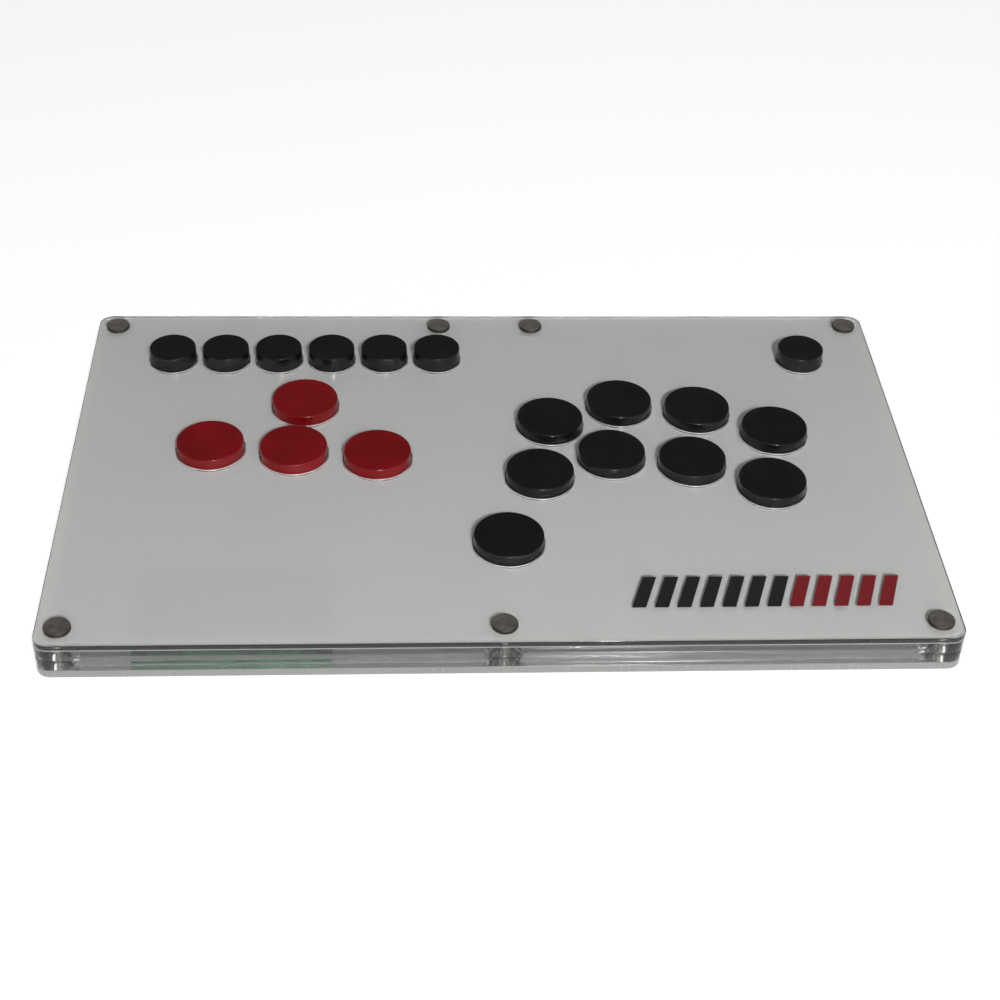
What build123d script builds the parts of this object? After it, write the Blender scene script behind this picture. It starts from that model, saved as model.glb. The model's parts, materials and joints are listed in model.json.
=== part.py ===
from build123d import *

import os

# A flat all-button game controller: a case of stacked acrylic sheets, held by
# seven through bolts, with twenty push buttons on low-profile key switches.
# Millimetres. X runs to the right, Y to the back and Z up. The origin is under
# the middle of the case, at the level of the rubber feet's undersides.

# ---- case ----
CASE_W = 300.0
CASE_D = 188.0
CORNER_R = 5.0
FOOT_H = 1.5
BASE_T = 3.0
RING_T = 4.2
UNDERLAY_T = 0.25
TOP_T = 2.0
WALL = 3.8
INNER_CORNER_R = 1.5
BOSS_R = 6.5
PORT_W = 14.0

BASE_BOTTOM = FOOT_H
BASE_TOP = BASE_BOTTOM + BASE_T
RING_SPLIT = BASE_TOP + RING_T
RING_TOP = RING_SPLIT + RING_T
PANEL_BOTTOM = RING_TOP + UNDERLAY_T
PANEL_TOP = PANEL_BOTTOM + TOP_T

# ---- case fasteners: M4 studs with plain disc heads, hex nuts below ----
BOLT_X = CASE_W / 2 - 7.5
BOLT_Y = CASE_D / 2 - 8.0
PORT_BOLT_X = 18.0
BOLT_PLACES = [(sx * BOLT_X, sy * BOLT_Y) for sx in (-1, 1) for sy in (-1, 1)]
BOLT_PLACES += [(-PORT_BOLT_X, BOLT_Y), (PORT_BOLT_X, BOLT_Y), (0, -BOLT_Y)]
BOLT_R = 2.0
BOLT_HOLE_R = 2.15
BOLT_HEAD_R = 4.4
BOLT_HEAD_T = 1.2
BOLT_END = 1.0
NUT_ACROSS_FLATS = 7.0
NUT_BOTTOM = 0.8
NUT_TOP = 3.0
NUT_BORE_R = 2.05
NUT_POCKET_R = 4.8

# ---- rubber feet ----
FOOT_R = 7.0
FOOT_PLACES = [(sx * 125.0, sy * 70.0) for sx in (-1, 0, 1) for sy in (-1, 1)]

# ---- buttons: name, centre x, centre y ----
PITCH_SMALL = 20.0
SMALL_ROW_X = -119.2
SMALL_ROW_Y = 64.5
MENU = [(f"menu_{i + 1}", SMALL_ROW_X + PITCH_SMALL * i, SMALL_ROW_Y) for i in range(6)]
MENU += [("menu_7", 121.0, 63.8)]
DIRECTIONS = [
    ("up", -68.2, 34.2),
    ("left", -101.1, 8.4),
    ("down", -71.3, 5.6),
    ("right", -41.4, 2.6),
]
UPPER_ROW = [(21.5, 22.2), (47.9, 33.3), (76.5, 29.1), (103.5, 16.4)]
LOWER_SHIFT = (-5.5, -31.0)
ACTIONS = [(f"a{i + 1}", x, y) for i, (x, y) in enumerate(UPPER_ROW)]
ACTIONS += [
    (f"b{i + 1}", x + LOWER_SHIFT[0], y + LOWER_SHIFT[1])
    for i, (x, y) in enumerate(UPPER_ROW)
]
ACTIONS += [("thumb", 3.3, -44.6)]
LARGE = DIRECTIONS + ACTIONS
BUTTONS = LARGE + MENU

# ---- caps: radius at the panel, radius on top, height above the panel ----
LARGE_R = 12.15
LARGE_TOP_R = 12.0
LARGE_RISE = 3.5
LARGE_BORE_R = 10.9
LARGE_HOLE_R = 12.45
SMALL_R = 8.8
SMALL_TOP_R = 8.7
SMALL_RISE = 5.4
SMALL_BORE_R = 7.5
SMALL_HOLE_R = 9.1
CAP_ROOF_T = 1.5
CAP_RIM_R = 0.4

# ---- boards ----
BOARD_GAP = 0.5
BOARD_T = 1.6
BOARD_BOTTOM = BASE_TOP + BOARD_GAP
BOARD_TOP = BOARD_BOTTOM + BOARD_T
SWITCH_BOARD_W = 264.0
SWITCH_BOARD_FRONT = -54.5
SWITCH_BOARD_BACK = 78.0
PORT_TAB_W = 18.0
PORT_TAB_BACK = 89.6
ENCODER_LEFT = -119.5
ENCODER_RIGHT = -55.5
ENCODER_FRONT = -89.8
ENCODER_BACK = -56.5
ENCODER_X = (ENCODER_LEFT + ENCODER_RIGHT) / 2
ENCODER_Y = (ENCODER_FRONT + ENCODER_BACK) / 2

# ---- board fasteners: M2.5 ----
ENCODER_SCREWS = [(x, y) for x in (-116.5, -58.5) for y in (-86.6, -59.6)]
SWITCH_SCREWS = [(x, y) for x in (-128.0, 128.0) for y in (-50.0, 46.0)]
SWITCH_SCREWS += [(-13.0, 40.0), (-12.0, -22.0)]
SCREW_R = 1.25
SCREW_HOLE_R = 1.4
SCREW_TAP_R = 1.27
SCREW_HEAD_R = 2.4
SCREW_HEAD_T = 1.4
SCREW_END = 2.2
SPACER_R = 2.6

# ---- key switch, one under each cap ----
TRAVEL = 3.0
HOUSING = 15.0
HOUSING_BASE = 13.8
HOUSING_SPLIT = BOARD_TOP + 2.5
HOUSING_TOP = BOARD_TOP + 5.0
HOUSING_FLOOR = BOARD_TOP + 0.55
HOUSING_ROOF = HOUSING_TOP - 0.8
CAVITY_X = 12.9
CAVITY_Y = 8.4
STEM_TOP = HOUSING_TOP + TRAVEL + 0.1
STEM_X = 10.0
STEM_Y = 5.0
STEM_CLEARANCE = 0.15
FLANGE_X = 12.3
FLANGE_Y = 7.6
FLANGE_T = 0.55
STEM_BORE_R = 2.0
STEM_BORE_TOP = STEM_TOP - 2.8
SLOT_X = 2.85
SLOT_W = 1.2
SLOT_L = 3.0
SLOT_DEPTH = 3.0
PRONG_PLAY = 0.1
CAP_BOSS_X = 9.0
CAP_BOSS_Y = 4.2
SPRING_R = 1.5
SPRING_WIRE_R = 0.15
SPRING_PITCH = 0.85
SPRING_POST_R = 0.9
SPRING_POST_H = 1.4
CENTRE_POST_R = 1.7
CONTACT_Y = 5.6
CONTACT_X = 2.5
CONTACT_T = 0.25
CONTACT_W = 1.0
CONTACT_POCKET_X = 7.4
CONTACT_POCKET_Y = 1.2
PIN_END = BASE_TOP + 0.15
PIN_HOLE_R = 0.75

# ---- USB-C receptacle on the switch board's back tab ----
USB_W = 8.94
USB_H = 3.2
USB_CORNER_R = 1.4
USB_SHEET = 0.3
USB_FRONT = 82.6
USB_BACK = 89.8
USB_LEG_Y = (83.8, 88.0)
USB_LEG_R = 0.45
TONGUE_W = 6.7
TONGUE_T = 0.7

# ---- pin header that joins the two boards ----
HEADER_PINS = 9
HEADER_PITCH = 2.54
HEADER_X = -87.5
HEADER_H = 2.5
PIN_SIDE = 0.64
PIN_LEG_Y = -64.0
PIN_TIP_Y = -48.0
PLUG_Y = (-62.0, -59.5)
SOCKET_Y = (-53.8, -46.8)
HEADER_PIN_Z = BOARD_TOP + HEADER_H / 2
HEADER_PIN_X = [
    HEADER_X + HEADER_PITCH * (i - (HEADER_PINS - 1) / 2) for i in range(HEADER_PINS)
]


BOTTOM_CENTRE = (Align.CENTER, Align.CENTER, Align.MIN)


def block(x, y, z):
    """A box from three (low, high) ranges."""
    low = (x[0], y[0], z[0])
    size = (x[1] - x[0], y[1] - y[0], z[1] - z[0])
    return Pos(*low) * Box(*size, align=(Align.MIN, Align.MIN, Align.MIN))


def post(x, y, radius, bottom, top):
    """An upright cylinder between two heights."""
    height = top - bottom
    return Pos(x, y, bottom) * Cylinder(radius, height, align=BOTTOM_CENTRE)


def centred(width, depth, bottom, top):
    """A box centred on the Z axis between two heights."""
    return Pos(0, 0, bottom) * Box(width, depth, top - bottom, align=BOTTOM_CENTRE)


def write(name, shapes):
    """Save one shape, or a group of separate ones, as the node called name."""
    shape = Compound(children=shapes) if isinstance(shapes, list) else shapes
    shape.label = name
    export_step(shape, f"parts/{name}.step")


# ---- case ----
def sheet(bottom, thickness):
    outline = RectangleRounded(CASE_W, CASE_D, CORNER_R)
    return Pos(0, 0, bottom) * extrude(outline, thickness)


def top_sheet(bottom, thickness):
    """A full-size sheet with a hole for every cap and every case bolt: the clear
    top panel, or the thin white underlay that lies beneath it."""
    top = bottom + thickness
    holes = [post(x, y, LARGE_HOLE_R, bottom, top) for _, x, y in LARGE]
    holes += [post(x, y, SMALL_HOLE_R, bottom, top) for _, x, y in MENU]
    holes += [post(x, y, BOLT_HOLE_R, bottom, top) for x, y in BOLT_PLACES]
    return sheet(bottom, thickness) - holes


def frame_ring(bottom):
    """One clear layer of the case wall, open at the back for the cable plug."""
    outline = RectangleRounded(CASE_W, CASE_D, CORNER_R)
    outline -= RectangleRounded(CASE_W - 2 * WALL, CASE_D - 2 * WALL, INNER_CORNER_R)
    outline += [Pos(x, y) * Circle(BOSS_R) for x, y in BOLT_PLACES]
    outline -= [Pos(x, y) * Circle(BOLT_HOLE_R) for x, y in BOLT_PLACES]
    outline -= Pos(0, CASE_D / 2 - WALL / 2) * Rectangle(PORT_W, 2 * WALL)
    return Pos(0, 0, bottom) * extrude(outline, RING_T)


def base_panel():
    panel = sheet(BASE_BOTTOM, BASE_T)
    cuts = [post(x, y, BOLT_HOLE_R, BASE_BOTTOM, BASE_TOP) for x, y in BOLT_PLACES]
    cuts += [post(x, y, NUT_POCKET_R, BASE_BOTTOM, NUT_TOP) for x, y in BOLT_PLACES]
    screws = SWITCH_SCREWS + ENCODER_SCREWS
    cuts += [post(x, y, SCREW_TAP_R, SCREW_END, BASE_TOP) for x, y in screws]
    return panel - cuts


def case_bolt(x, y):
    head = post(x, y, BOLT_HEAD_R, PANEL_TOP, PANEL_TOP + BOLT_HEAD_T)
    head = chamfer(head.edges().sort_by(Axis.Z)[-1], 0.2)
    return head + post(x, y, BOLT_R, BOLT_END, PANEL_TOP)


def case_nut(x, y):
    outline = RegularPolygon(NUT_ACROSS_FLATS / 2, 6, major_radius=False)
    outline -= Circle(NUT_BORE_R)
    return Pos(x, y, NUT_BOTTOM) * extrude(outline, NUT_TOP - NUT_BOTTOM)


def rubber_foot(x, y):
    foot = post(x, y, FOOT_R, 0, FOOT_H)
    return chamfer(foot.edges().sort_by(Axis.Z)[0], 0.4)


# ---- caps and stems ----
def button_cap(x, y, panel_r, top_r, rise, bore_r, skirt_bottom):
    """A tapered cap, open below, whose boss and two prongs fit the stem."""
    top = PANEL_TOP + rise
    ceiling = top - CAP_ROOF_T
    skirt = post(0, 0, panel_r, skirt_bottom, PANEL_TOP)
    taper = Pos(0, 0, PANEL_TOP) * Cone(panel_r, top_r, rise, align=BOTTOM_CENTRE)
    shell = skirt + taper
    shell = fillet(shell.edges().sort_by(Axis.Z)[-1], CAP_RIM_R)
    shell -= post(0, 0, bore_r, skirt_bottom, ceiling)
    boss = centred(CAP_BOSS_X, CAP_BOSS_Y, STEM_TOP, ceiling)
    prong = centred(
        SLOT_W - PRONG_PLAY, SLOT_L - PRONG_PLAY, STEM_TOP - SLOT_DEPTH + PRONG_PLAY, ceiling
    )
    prongs = [Pos(side * SLOT_X, 0, 0) * prong for side in (-1, 1)]
    return Pos(x, y, 0) * (shell + boss + prongs)


def large_cap(x, y):
    skirt_bottom = BOARD_TOP + TRAVEL + 0.2
    return button_cap(
        x, y, LARGE_R, LARGE_TOP_R, LARGE_RISE, LARGE_BORE_R, skirt_bottom
    )


def small_cap(x, y):
    skirt_bottom = HOUSING_TOP + TRAVEL + 0.1
    return button_cap(
        x, y, SMALL_R, SMALL_TOP_R, SMALL_RISE, SMALL_BORE_R, skirt_bottom
    )


def stem(x, y):
    flange = centred(FLANGE_X, FLANGE_Y, HOUSING_ROOF - FLANGE_T, HOUSING_ROOF)
    shaft = centred(STEM_X, STEM_Y, HOUSING_ROOF - FLANGE_T, STEM_TOP)
    slot = centred(SLOT_W, SLOT_L, STEM_TOP - SLOT_DEPTH, STEM_TOP)
    slots = [Pos(side * SLOT_X, 0, 0) * slot for side in (-1, 1)]
    bore = post(0, 0, STEM_BORE_R, HOUSING_ROOF - FLANGE_T, STEM_BORE_TOP)
    return Pos(x, y, 0) * (flange + shaft - slots - bore)


# ---- key switches ----
def switch_base(x, y):
    body = centred(HOUSING_BASE, HOUSING_BASE, BOARD_TOP, HOUSING_SPLIT)
    body += centred(HOUSING, HOUSING, HOUSING_SPLIT - 0.8, HOUSING_SPLIT)
    body -= centred(CAVITY_X, CAVITY_Y, HOUSING_FLOOR, HOUSING_SPLIT)
    body -= contact_pocket(HOUSING_FLOOR, HOUSING_SPLIT)
    for side in (-1, 1):
        hole = centred(CONTACT_W + 0.2, CONTACT_T + 0.2, BOARD_TOP, HOUSING_FLOOR)
        body -= Pos(side * CONTACT_X, contact_pin_y(side), 0) * hole
    body += post(0, 0, SPRING_POST_R, HOUSING_FLOOR, HOUSING_FLOOR + SPRING_POST_H)
    body += post(0, 0, CENTRE_POST_R, BOARD_BOTTOM, BOARD_TOP)
    return Pos(x, y, 0) * body


def switch_cover(x, y):
    body = centred(HOUSING, HOUSING, HOUSING_SPLIT, HOUSING_TOP)
    body = chamfer(body.edges().group_by(Axis.Z)[-1], 0.4)
    body -= centred(CAVITY_X, CAVITY_Y, HOUSING_SPLIT, HOUSING_ROOF)
    body -= contact_pocket(HOUSING_SPLIT, HOUSING_ROOF)
    opening = 2 * STEM_CLEARANCE
    body -= centred(STEM_X + opening, STEM_Y + opening, HOUSING_ROOF, HOUSING_TOP)
    return Pos(x, y, 0) * body


def contact_pocket(bottom, top):
    pocket = centred(CONTACT_POCKET_X, CONTACT_POCKET_Y, bottom, top)
    return Pos(0, CONTACT_Y, 0) * pocket


def contact_pin_y(side):
    return CONTACT_Y + side * 0.3


def switch_contacts(x, y):
    """A fixed contact and a leaf that faces it, each on its own pin."""
    pair = []
    for side in (-1, 1):
        plate = centred(CONTACT_W * 3, CONTACT_T, HOUSING_FLOOR, HOUSING_FLOOR + 2.6)
        plate = Pos(-side * 1.0, 0, 0) * plate
        plate += centred(CONTACT_W, CONTACT_T, PIN_END, HOUSING_FLOOR + 0.5)
        pair.append(Pos(x + side * CONTACT_X, y + contact_pin_y(side), 0) * plate)
    return pair


def switch_spring(x, y):
    bottom = HOUSING_FLOOR + SPRING_WIRE_R
    height = STEM_BORE_TOP - HOUSING_FLOOR - 2 * SPRING_WIRE_R
    path = Helix(SPRING_PITCH, height, SPRING_R)
    section = Plane(path @ 0, z_dir=path % 0) * Circle(SPRING_WIRE_R)
    return Pos(x, y, bottom) * sweep(section, path=path, is_frenet=True)


# ---- boards ----
def switch_board():
    board = block(
        (-SWITCH_BOARD_W / 2, SWITCH_BOARD_W / 2),
        (SWITCH_BOARD_FRONT, SWITCH_BOARD_BACK),
        (BOARD_BOTTOM, BOARD_TOP),
    )
    board += block(
        (-PORT_TAB_W / 2, PORT_TAB_W / 2),
        (SWITCH_BOARD_BACK, PORT_TAB_BACK),
        (BOARD_BOTTOM, BOARD_TOP),
    )
    holes = [board_hole(x, y, SCREW_HOLE_R) for x, y in SWITCH_SCREWS]
    for _, x, y in BUTTONS:
        holes.append(board_hole(x, y, CENTRE_POST_R + 0.1))
        for side in (-1, 1):
            pin_x = x + side * CONTACT_X
            holes.append(board_hole(pin_x, y + contact_pin_y(side), PIN_HOLE_R))
    holes += [board_hole(x, y, USB_LEG_R + 0.15) for x, y in usb_leg_places()]
    return board - holes


def encoder_board():
    board = block(
        (ENCODER_LEFT, ENCODER_RIGHT),
        (ENCODER_FRONT, ENCODER_BACK),
        (BOARD_BOTTOM, BOARD_TOP),
    )
    holes = [board_hole(x, y, SCREW_HOLE_R) for x, y in ENCODER_SCREWS]
    holes += [board_hole(x, PIN_LEG_Y, PIN_HOLE_R) for x in HEADER_PIN_X]
    return board - holes


def board_hole(x, y, radius):
    return post(x, y, radius, BOARD_BOTTOM, BOARD_TOP)


def board_screw(x, y):
    head = post(x, y, SCREW_HEAD_R, BOARD_TOP, BOARD_TOP + SCREW_HEAD_T)
    head = fillet(head.edges().sort_by(Axis.Z)[-1], 0.5)
    top = BOARD_TOP + SCREW_HEAD_T
    for turn in (0, 90):
        slot = centred(2.6, 0.5, top - 0.8, top)
        head -= Pos(x, y, 0) * Rot(0, 0, turn) * slot
    return head + post(x, y, SCREW_R, SCREW_END, BOARD_TOP)


def board_spacer(x, y):
    ring = post(x, y, SPACER_R, BASE_TOP, BOARD_BOTTOM)
    return ring - post(x, y, SCREW_HOLE_R, BASE_TOP, BOARD_BOTTOM)


def chip(x, y, width, depth, height):
    body = Pos(x, y, BOARD_TOP) * Box(width, depth, height, align=BOTTOM_CENTRE)
    return chamfer(body.edges().group_by(Axis.Z)[-1], 0.15)


def board_chips():
    """The encoder board's processor, memory, regulator and clock crystal."""
    return [
        chip(ENCODER_X, ENCODER_Y - 2.5, 10.0, 10.0, 1.2),
        chip(ENCODER_X + 15.0, ENCODER_Y - 2.0, 5.2, 4.0, 1.0),
        chip(ENCODER_X - 17.0, ENCODER_Y - 1.0, 6.5, 3.5, 1.6),
        chip(ENCODER_X + 13.0, ENCODER_Y - 9.0, 5.0, 3.2, 0.8),
    ]


# ---- connectors ----
def usb_leg_places():
    reach = USB_W / 2 - USB_SHEET / 2 - 0.6
    return [(side * reach, y) for side in (-1, 1) for y in USB_LEG_Y]


def usb_outline(inset):
    width = USB_W - 2 * inset
    height = USB_H - 2 * inset
    return RectangleRounded(width, height, USB_CORNER_R - inset)


def usb_tube(inset, front, back):
    """A flat tube section, its axis along Y, resting on the board."""
    outline = Plane.XZ * usb_outline(inset)
    centre = Pos(0, back, BOARD_TOP + USB_H / 2)
    return centre * extrude(outline, back - front)


def usb_shell():
    shell = usb_tube(0, USB_FRONT, USB_BACK) - usb_tube(USB_SHEET, USB_FRONT, USB_BACK)
    legs = [
        post(x, y, USB_LEG_R, BOARD_BOTTOM, BOARD_TOP + USB_SHEET * 0.8)
        for x, y in usb_leg_places()
    ]
    return shell + legs


def usb_tongue():
    middle = BOARD_TOP + USB_H / 2
    back_wall = usb_tube(USB_SHEET + 0.05, USB_FRONT, USB_FRONT + 1.4)
    tongue = block(
        (-TONGUE_W / 2, TONGUE_W / 2),
        (USB_FRONT + 1.0, USB_BACK - 0.7),
        (middle - TONGUE_T / 2, middle + TONGUE_T / 2),
    )
    return back_wall + tongue


def header_blocks():
    """The plug strip on the encoder board and the socket strip it meets."""
    half = HEADER_PINS * HEADER_PITCH / 2
    strips = []
    for y in (PLUG_Y, SOCKET_Y):
        strip = block(
            (HEADER_X - half, HEADER_X + half), y, (BOARD_TOP, BOARD_TOP + HEADER_H)
        )
        bore = PIN_SIDE / 2 + 0.08
        for x in HEADER_PIN_X:
            strip -= block(
                (x - bore, x + bore), y, (HEADER_PIN_Z - bore, HEADER_PIN_Z + bore)
            )
        strips.append(strip)
    return strips


def header_pin(x):
    half = PIN_SIDE / 2
    sides = (x - half, x + half)
    top = HEADER_PIN_Z + half
    reach = block(sides, (PIN_LEG_Y - half, PIN_TIP_Y), (HEADER_PIN_Z - half, top))
    leg = block(sides, (PIN_LEG_Y - half, PIN_LEG_Y + half), (PIN_END, top))
    return reach + leg


# ---- write every node ----
os.makedirs("parts", exist_ok=True)

write("top_panel", top_sheet(PANEL_BOTTOM, TOP_T))
write("white_underlay", top_sheet(RING_TOP, UNDERLAY_T))
write("upper_frame", frame_ring(RING_SPLIT))
write("lower_frame", frame_ring(BASE_TOP))
write("base_panel", base_panel())
write("case_bolts", [case_bolt(x, y) for x, y in BOLT_PLACES])
write("case_nuts", [case_nut(x, y) for x, y in BOLT_PLACES])
write("rubber_feet", [rubber_foot(x, y) for x, y in FOOT_PLACES])

for name, x, y in LARGE:
    write(f"cap_{name}", large_cap(x, y))
for name, x, y in MENU:
    write(f"cap_{name}", small_cap(x, y))
for name, x, y in BUTTONS:
    write(f"stem_{name}", stem(x, y))

write("switch_bases", [switch_base(x, y) for _, x, y in BUTTONS])
write("switch_covers", [switch_cover(x, y) for _, x, y in BUTTONS])
write("switch_springs", [switch_spring(x, y) for _, x, y in BUTTONS])
write("switch_contacts", [c for _, x, y in BUTTONS for c in switch_contacts(x, y)])

write("switch_board", switch_board())
write("encoder_board", encoder_board())
write("board_chips", board_chips())
write("board_screws", [board_screw(x, y) for x, y in SWITCH_SCREWS + ENCODER_SCREWS])
write("board_spacers", [board_spacer(x, y) for x, y in SWITCH_SCREWS + ENCODER_SCREWS])
write("usb_shell", usb_shell())
write("usb_tongue", usb_tongue())
write("board_header", header_blocks() + [header_pin(x) for x in HEADER_PIN_X])
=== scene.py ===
import json
import math

import bmesh
import bpy
from mathutils import Euler, Matrix, Vector


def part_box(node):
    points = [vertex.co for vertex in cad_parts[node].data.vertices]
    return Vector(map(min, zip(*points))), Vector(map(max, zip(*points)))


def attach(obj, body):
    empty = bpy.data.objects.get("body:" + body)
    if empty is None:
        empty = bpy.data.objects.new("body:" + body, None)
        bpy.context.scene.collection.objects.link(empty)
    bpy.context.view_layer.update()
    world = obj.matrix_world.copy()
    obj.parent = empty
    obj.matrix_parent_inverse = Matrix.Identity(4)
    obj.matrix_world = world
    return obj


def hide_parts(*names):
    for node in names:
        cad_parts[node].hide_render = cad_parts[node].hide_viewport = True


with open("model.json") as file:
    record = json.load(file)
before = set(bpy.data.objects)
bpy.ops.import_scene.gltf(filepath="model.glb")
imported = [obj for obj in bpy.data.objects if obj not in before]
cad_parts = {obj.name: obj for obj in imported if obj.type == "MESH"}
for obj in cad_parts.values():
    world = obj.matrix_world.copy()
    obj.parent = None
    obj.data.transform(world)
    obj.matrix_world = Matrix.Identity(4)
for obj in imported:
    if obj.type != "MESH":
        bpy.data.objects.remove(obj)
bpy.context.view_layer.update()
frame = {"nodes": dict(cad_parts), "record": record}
nodes = frame["nodes"]
MM = 0.001

# ---- places and sizes read from the frame ----
panel_low, panel_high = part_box("top_panel")
base_low, base_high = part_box("base_panel")
HALF_W = panel_high.x
HALF_D = panel_high.y
PANEL_TOP = panel_high.z
PANEL_BOTTOM = panel_low.z
BASE_TOP = base_high.z
BASE_BOTTOM = base_low.z

# ---- design sizes that the frame's boxes don't give ----
CORNER_R = 5.0 * MM
WALL = 3.8 * MM
BOSS_R = 6.5 * MM
BOLT_INSET_X = 7.5 * MM
BOLT_INSET_Y = 8.0 * MM
PORT_BOLT_X = 18.0 * MM
PORT_HALF_W = 7.0 * MM
BOLT_R = 2.0 * MM
BOLT_HEAD_R = 4.4 * MM
BOLT_HOLE_R = 2.15 * MM
NUT_POCKET_R = 4.8 * MM
NUT_POCKET_TOP = 3.0 * MM
LARGE_HOLE_R = 12.45 * MM
SMALL_HOLE_R = 9.1 * MM
BEVEL = 0.22 * MM
FILM_BEVEL = 0.04 * MM
JOINT_GAP = 0.03 * MM

BOLT_X = HALF_W - BOLT_INSET_X
BOLT_Y = HALF_D - BOLT_INSET_Y
BOLTS = [(sx * BOLT_X, sy * BOLT_Y) for sx in (-1, 1) for sy in (-1, 1)]
BOLTS += [(-PORT_BOLT_X, BOLT_Y), (PORT_BOLT_X, BOLT_Y), (0.0, -BOLT_Y)]

RED_CAPS = ("cap_up", "cap_left", "cap_down", "cap_right")
CAPS = sorted(name for name in nodes if name.startswith("cap_"))


def cap_centre(name):
    low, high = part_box(name)
    return (low.x + high.x) / 2, (low.y + high.y) / 2


def is_small(name):
    return "menu" in name


# ---- node material helpers ----
class Paint:
    """A material being made: its node tree, its main shader and short ways to add nodes."""

    def __init__(self, name, roughness=0.4, metallic=0.0, ior=1.49):
        self.material = bpy.data.materials.new(name)
        self.material.use_nodes = True
        self.tree = self.material.node_tree
        self.shader = self.tree.nodes["Principled BSDF"]
        self.output = self.tree.nodes["Material Output"]
        self.shader.inputs["Roughness"].default_value = roughness
        self.shader.inputs["Metallic"].default_value = metallic
        self.shader.inputs["IOR"].default_value = ior

    def add(self, kind, **values):
        node = self.tree.nodes.new(kind)
        for key, value in values.items():
            setattr(node, key, value)
        return node

    def link(self, start, end):
        self.tree.links.new(start, end)

    def set(self, socket, value):
        self.shader.inputs[socket].default_value = value

    def place(self, scale=(1, 1, 1)):
        """The piece's own coordinates in metres, stretched by scale."""
        coords = self.add("ShaderNodeTexCoord")
        mapping = self.add("ShaderNodeMapping")
        mapping.inputs["Scale"].default_value = scale
        self.link(coords.outputs["Object"], mapping.inputs["Vector"])
        return mapping.outputs["Vector"]

    def noise(self, scale, detail=4.0, stretch=(1, 1, 1)):
        node = self.add("ShaderNodeTexNoise")
        node.inputs["Scale"].default_value = scale
        node.inputs["Detail"].default_value = detail
        self.link(self.place(stretch), node.inputs["Vector"])
        return node.outputs["Fac"]

    def math(self, operation, first, second=None, third=None):
        node = self.add("ShaderNodeMath", operation=operation)
        for socket, value in zip(node.inputs, (first, second, third)):
            if isinstance(value, (int, float)):
                socket.default_value = value
            elif value is not None:
                self.link(value, socket)
        return node.outputs[0]

    def spread(self, value, low, high, to_low=0.0, to_high=1.0, smooth=False):
        node = self.add("ShaderNodeMapRange")
        if smooth:
            node.interpolation_type = "SMOOTHSTEP"
        for name, number in (("From Min", low), ("From Max", high),
                             ("To Min", to_low), ("To Max", to_high)):
            node.inputs[name].default_value = number
        self.link(value, node.inputs["Value"])
        return node.outputs["Result"]

    def mix(self, factor, first, second):
        node = self.add("ShaderNodeMix", data_type="RGBA")
        self.link(factor, node.inputs["Factor"])
        for socket, value in ((node.inputs[6], first), (node.inputs[7], second)):
            if isinstance(value, tuple):
                socket.default_value = (*value, 1.0)
            else:
                self.link(value, socket)
        return node.outputs[2]

    def colour(self, value):
        if isinstance(value, tuple):
            self.set("Base Color", (*value, 1.0))
        else:
            self.link(value, self.shader.inputs["Base Color"])

    def rough(self, value):
        self.link(value, self.shader.inputs["Roughness"])

    def bump(self, height, distance, strength=1.0):
        node = self.add("ShaderNodeBump")
        node.inputs["Distance"].default_value = distance
        node.inputs["Strength"].default_value = strength
        self.link(height, node.inputs["Height"])
        self.link(node.outputs["Normal"], self.shader.inputs["Normal"])

    def let_light_through(self, share, glow=None, glow_share=0.0):
        """Shadows cast by the surface are only partly dark, as behind acrylic: share is
        a number or a socket. A glow is a translucent shader with its own share."""
        surface = self.shader
        if glow is not None:
            surface = self.blend(glow_share, surface, glow)
        path = self.add("ShaderNodeLightPath")
        clear = self.add("ShaderNodeBsdfTransparent")
        factor = self.math("MULTIPLY", path.outputs["Is Shadow Ray"], share)
        self.link(self.blend(factor, surface, clear).outputs[0], self.output.inputs["Surface"])

    def blend(self, factor, first, second):
        node = self.add("ShaderNodeMixShader")
        if isinstance(factor, float):
            node.inputs[0].default_value = factor
        else:
            self.link(factor, node.inputs[0])
        self.link(first.outputs[0], node.inputs[1])
        self.link(second.outputs[0], node.inputs[2])
        return node


def cap_plastic(name, low, high):
    """Glossy moulding: faint cloudiness, fine scuffs and a soft orange peel."""
    paint = Paint(name, roughness=0.16)
    clouds = paint.noise(90.0, 3.0)
    paint.colour(paint.mix(paint.spread(clouds, 0.3, 0.7), low, high))
    scuffs = paint.noise(260.0, 5.0, (1, 0.25, 1))
    paint.rough(paint.spread(scuffs, 0.35, 0.75, 0.13, 0.24))
    paint.bump(paint.noise(380.0, 1.0), 0.00001, 0.2)
    return paint.material


def moulded(name, low, high, roughness=0.45, grain=1500.0):
    """Plain technical plastic with a fine spark-eroded grain."""
    paint = Paint(name, roughness=roughness)
    paint.colour(paint.mix(paint.noise(160.0, 3.0), low, high))
    speckle = paint.noise(grain, 5.0)
    paint.rough(paint.spread(speckle, 0.3, 0.7, roughness - 0.08, roughness + 0.1))
    paint.bump(speckle, 0.00002, 0.5)
    return paint.material


def metal(name, low, high, roughness, grain=900.0, stretch=(1, 1, 0.15)):
    """Bare metal with drawn or rolled streaks."""
    paint = Paint(name, roughness=roughness, metallic=1.0)
    streaks = paint.noise(grain, 6.0, stretch)
    paint.colour(paint.mix(streaks, low, high))
    paint.rough(paint.spread(streaks, 0.3, 0.7, roughness - 0.07, roughness + 0.12))
    paint.bump(streaks, 0.00001, 0.5)
    return paint.material


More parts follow.
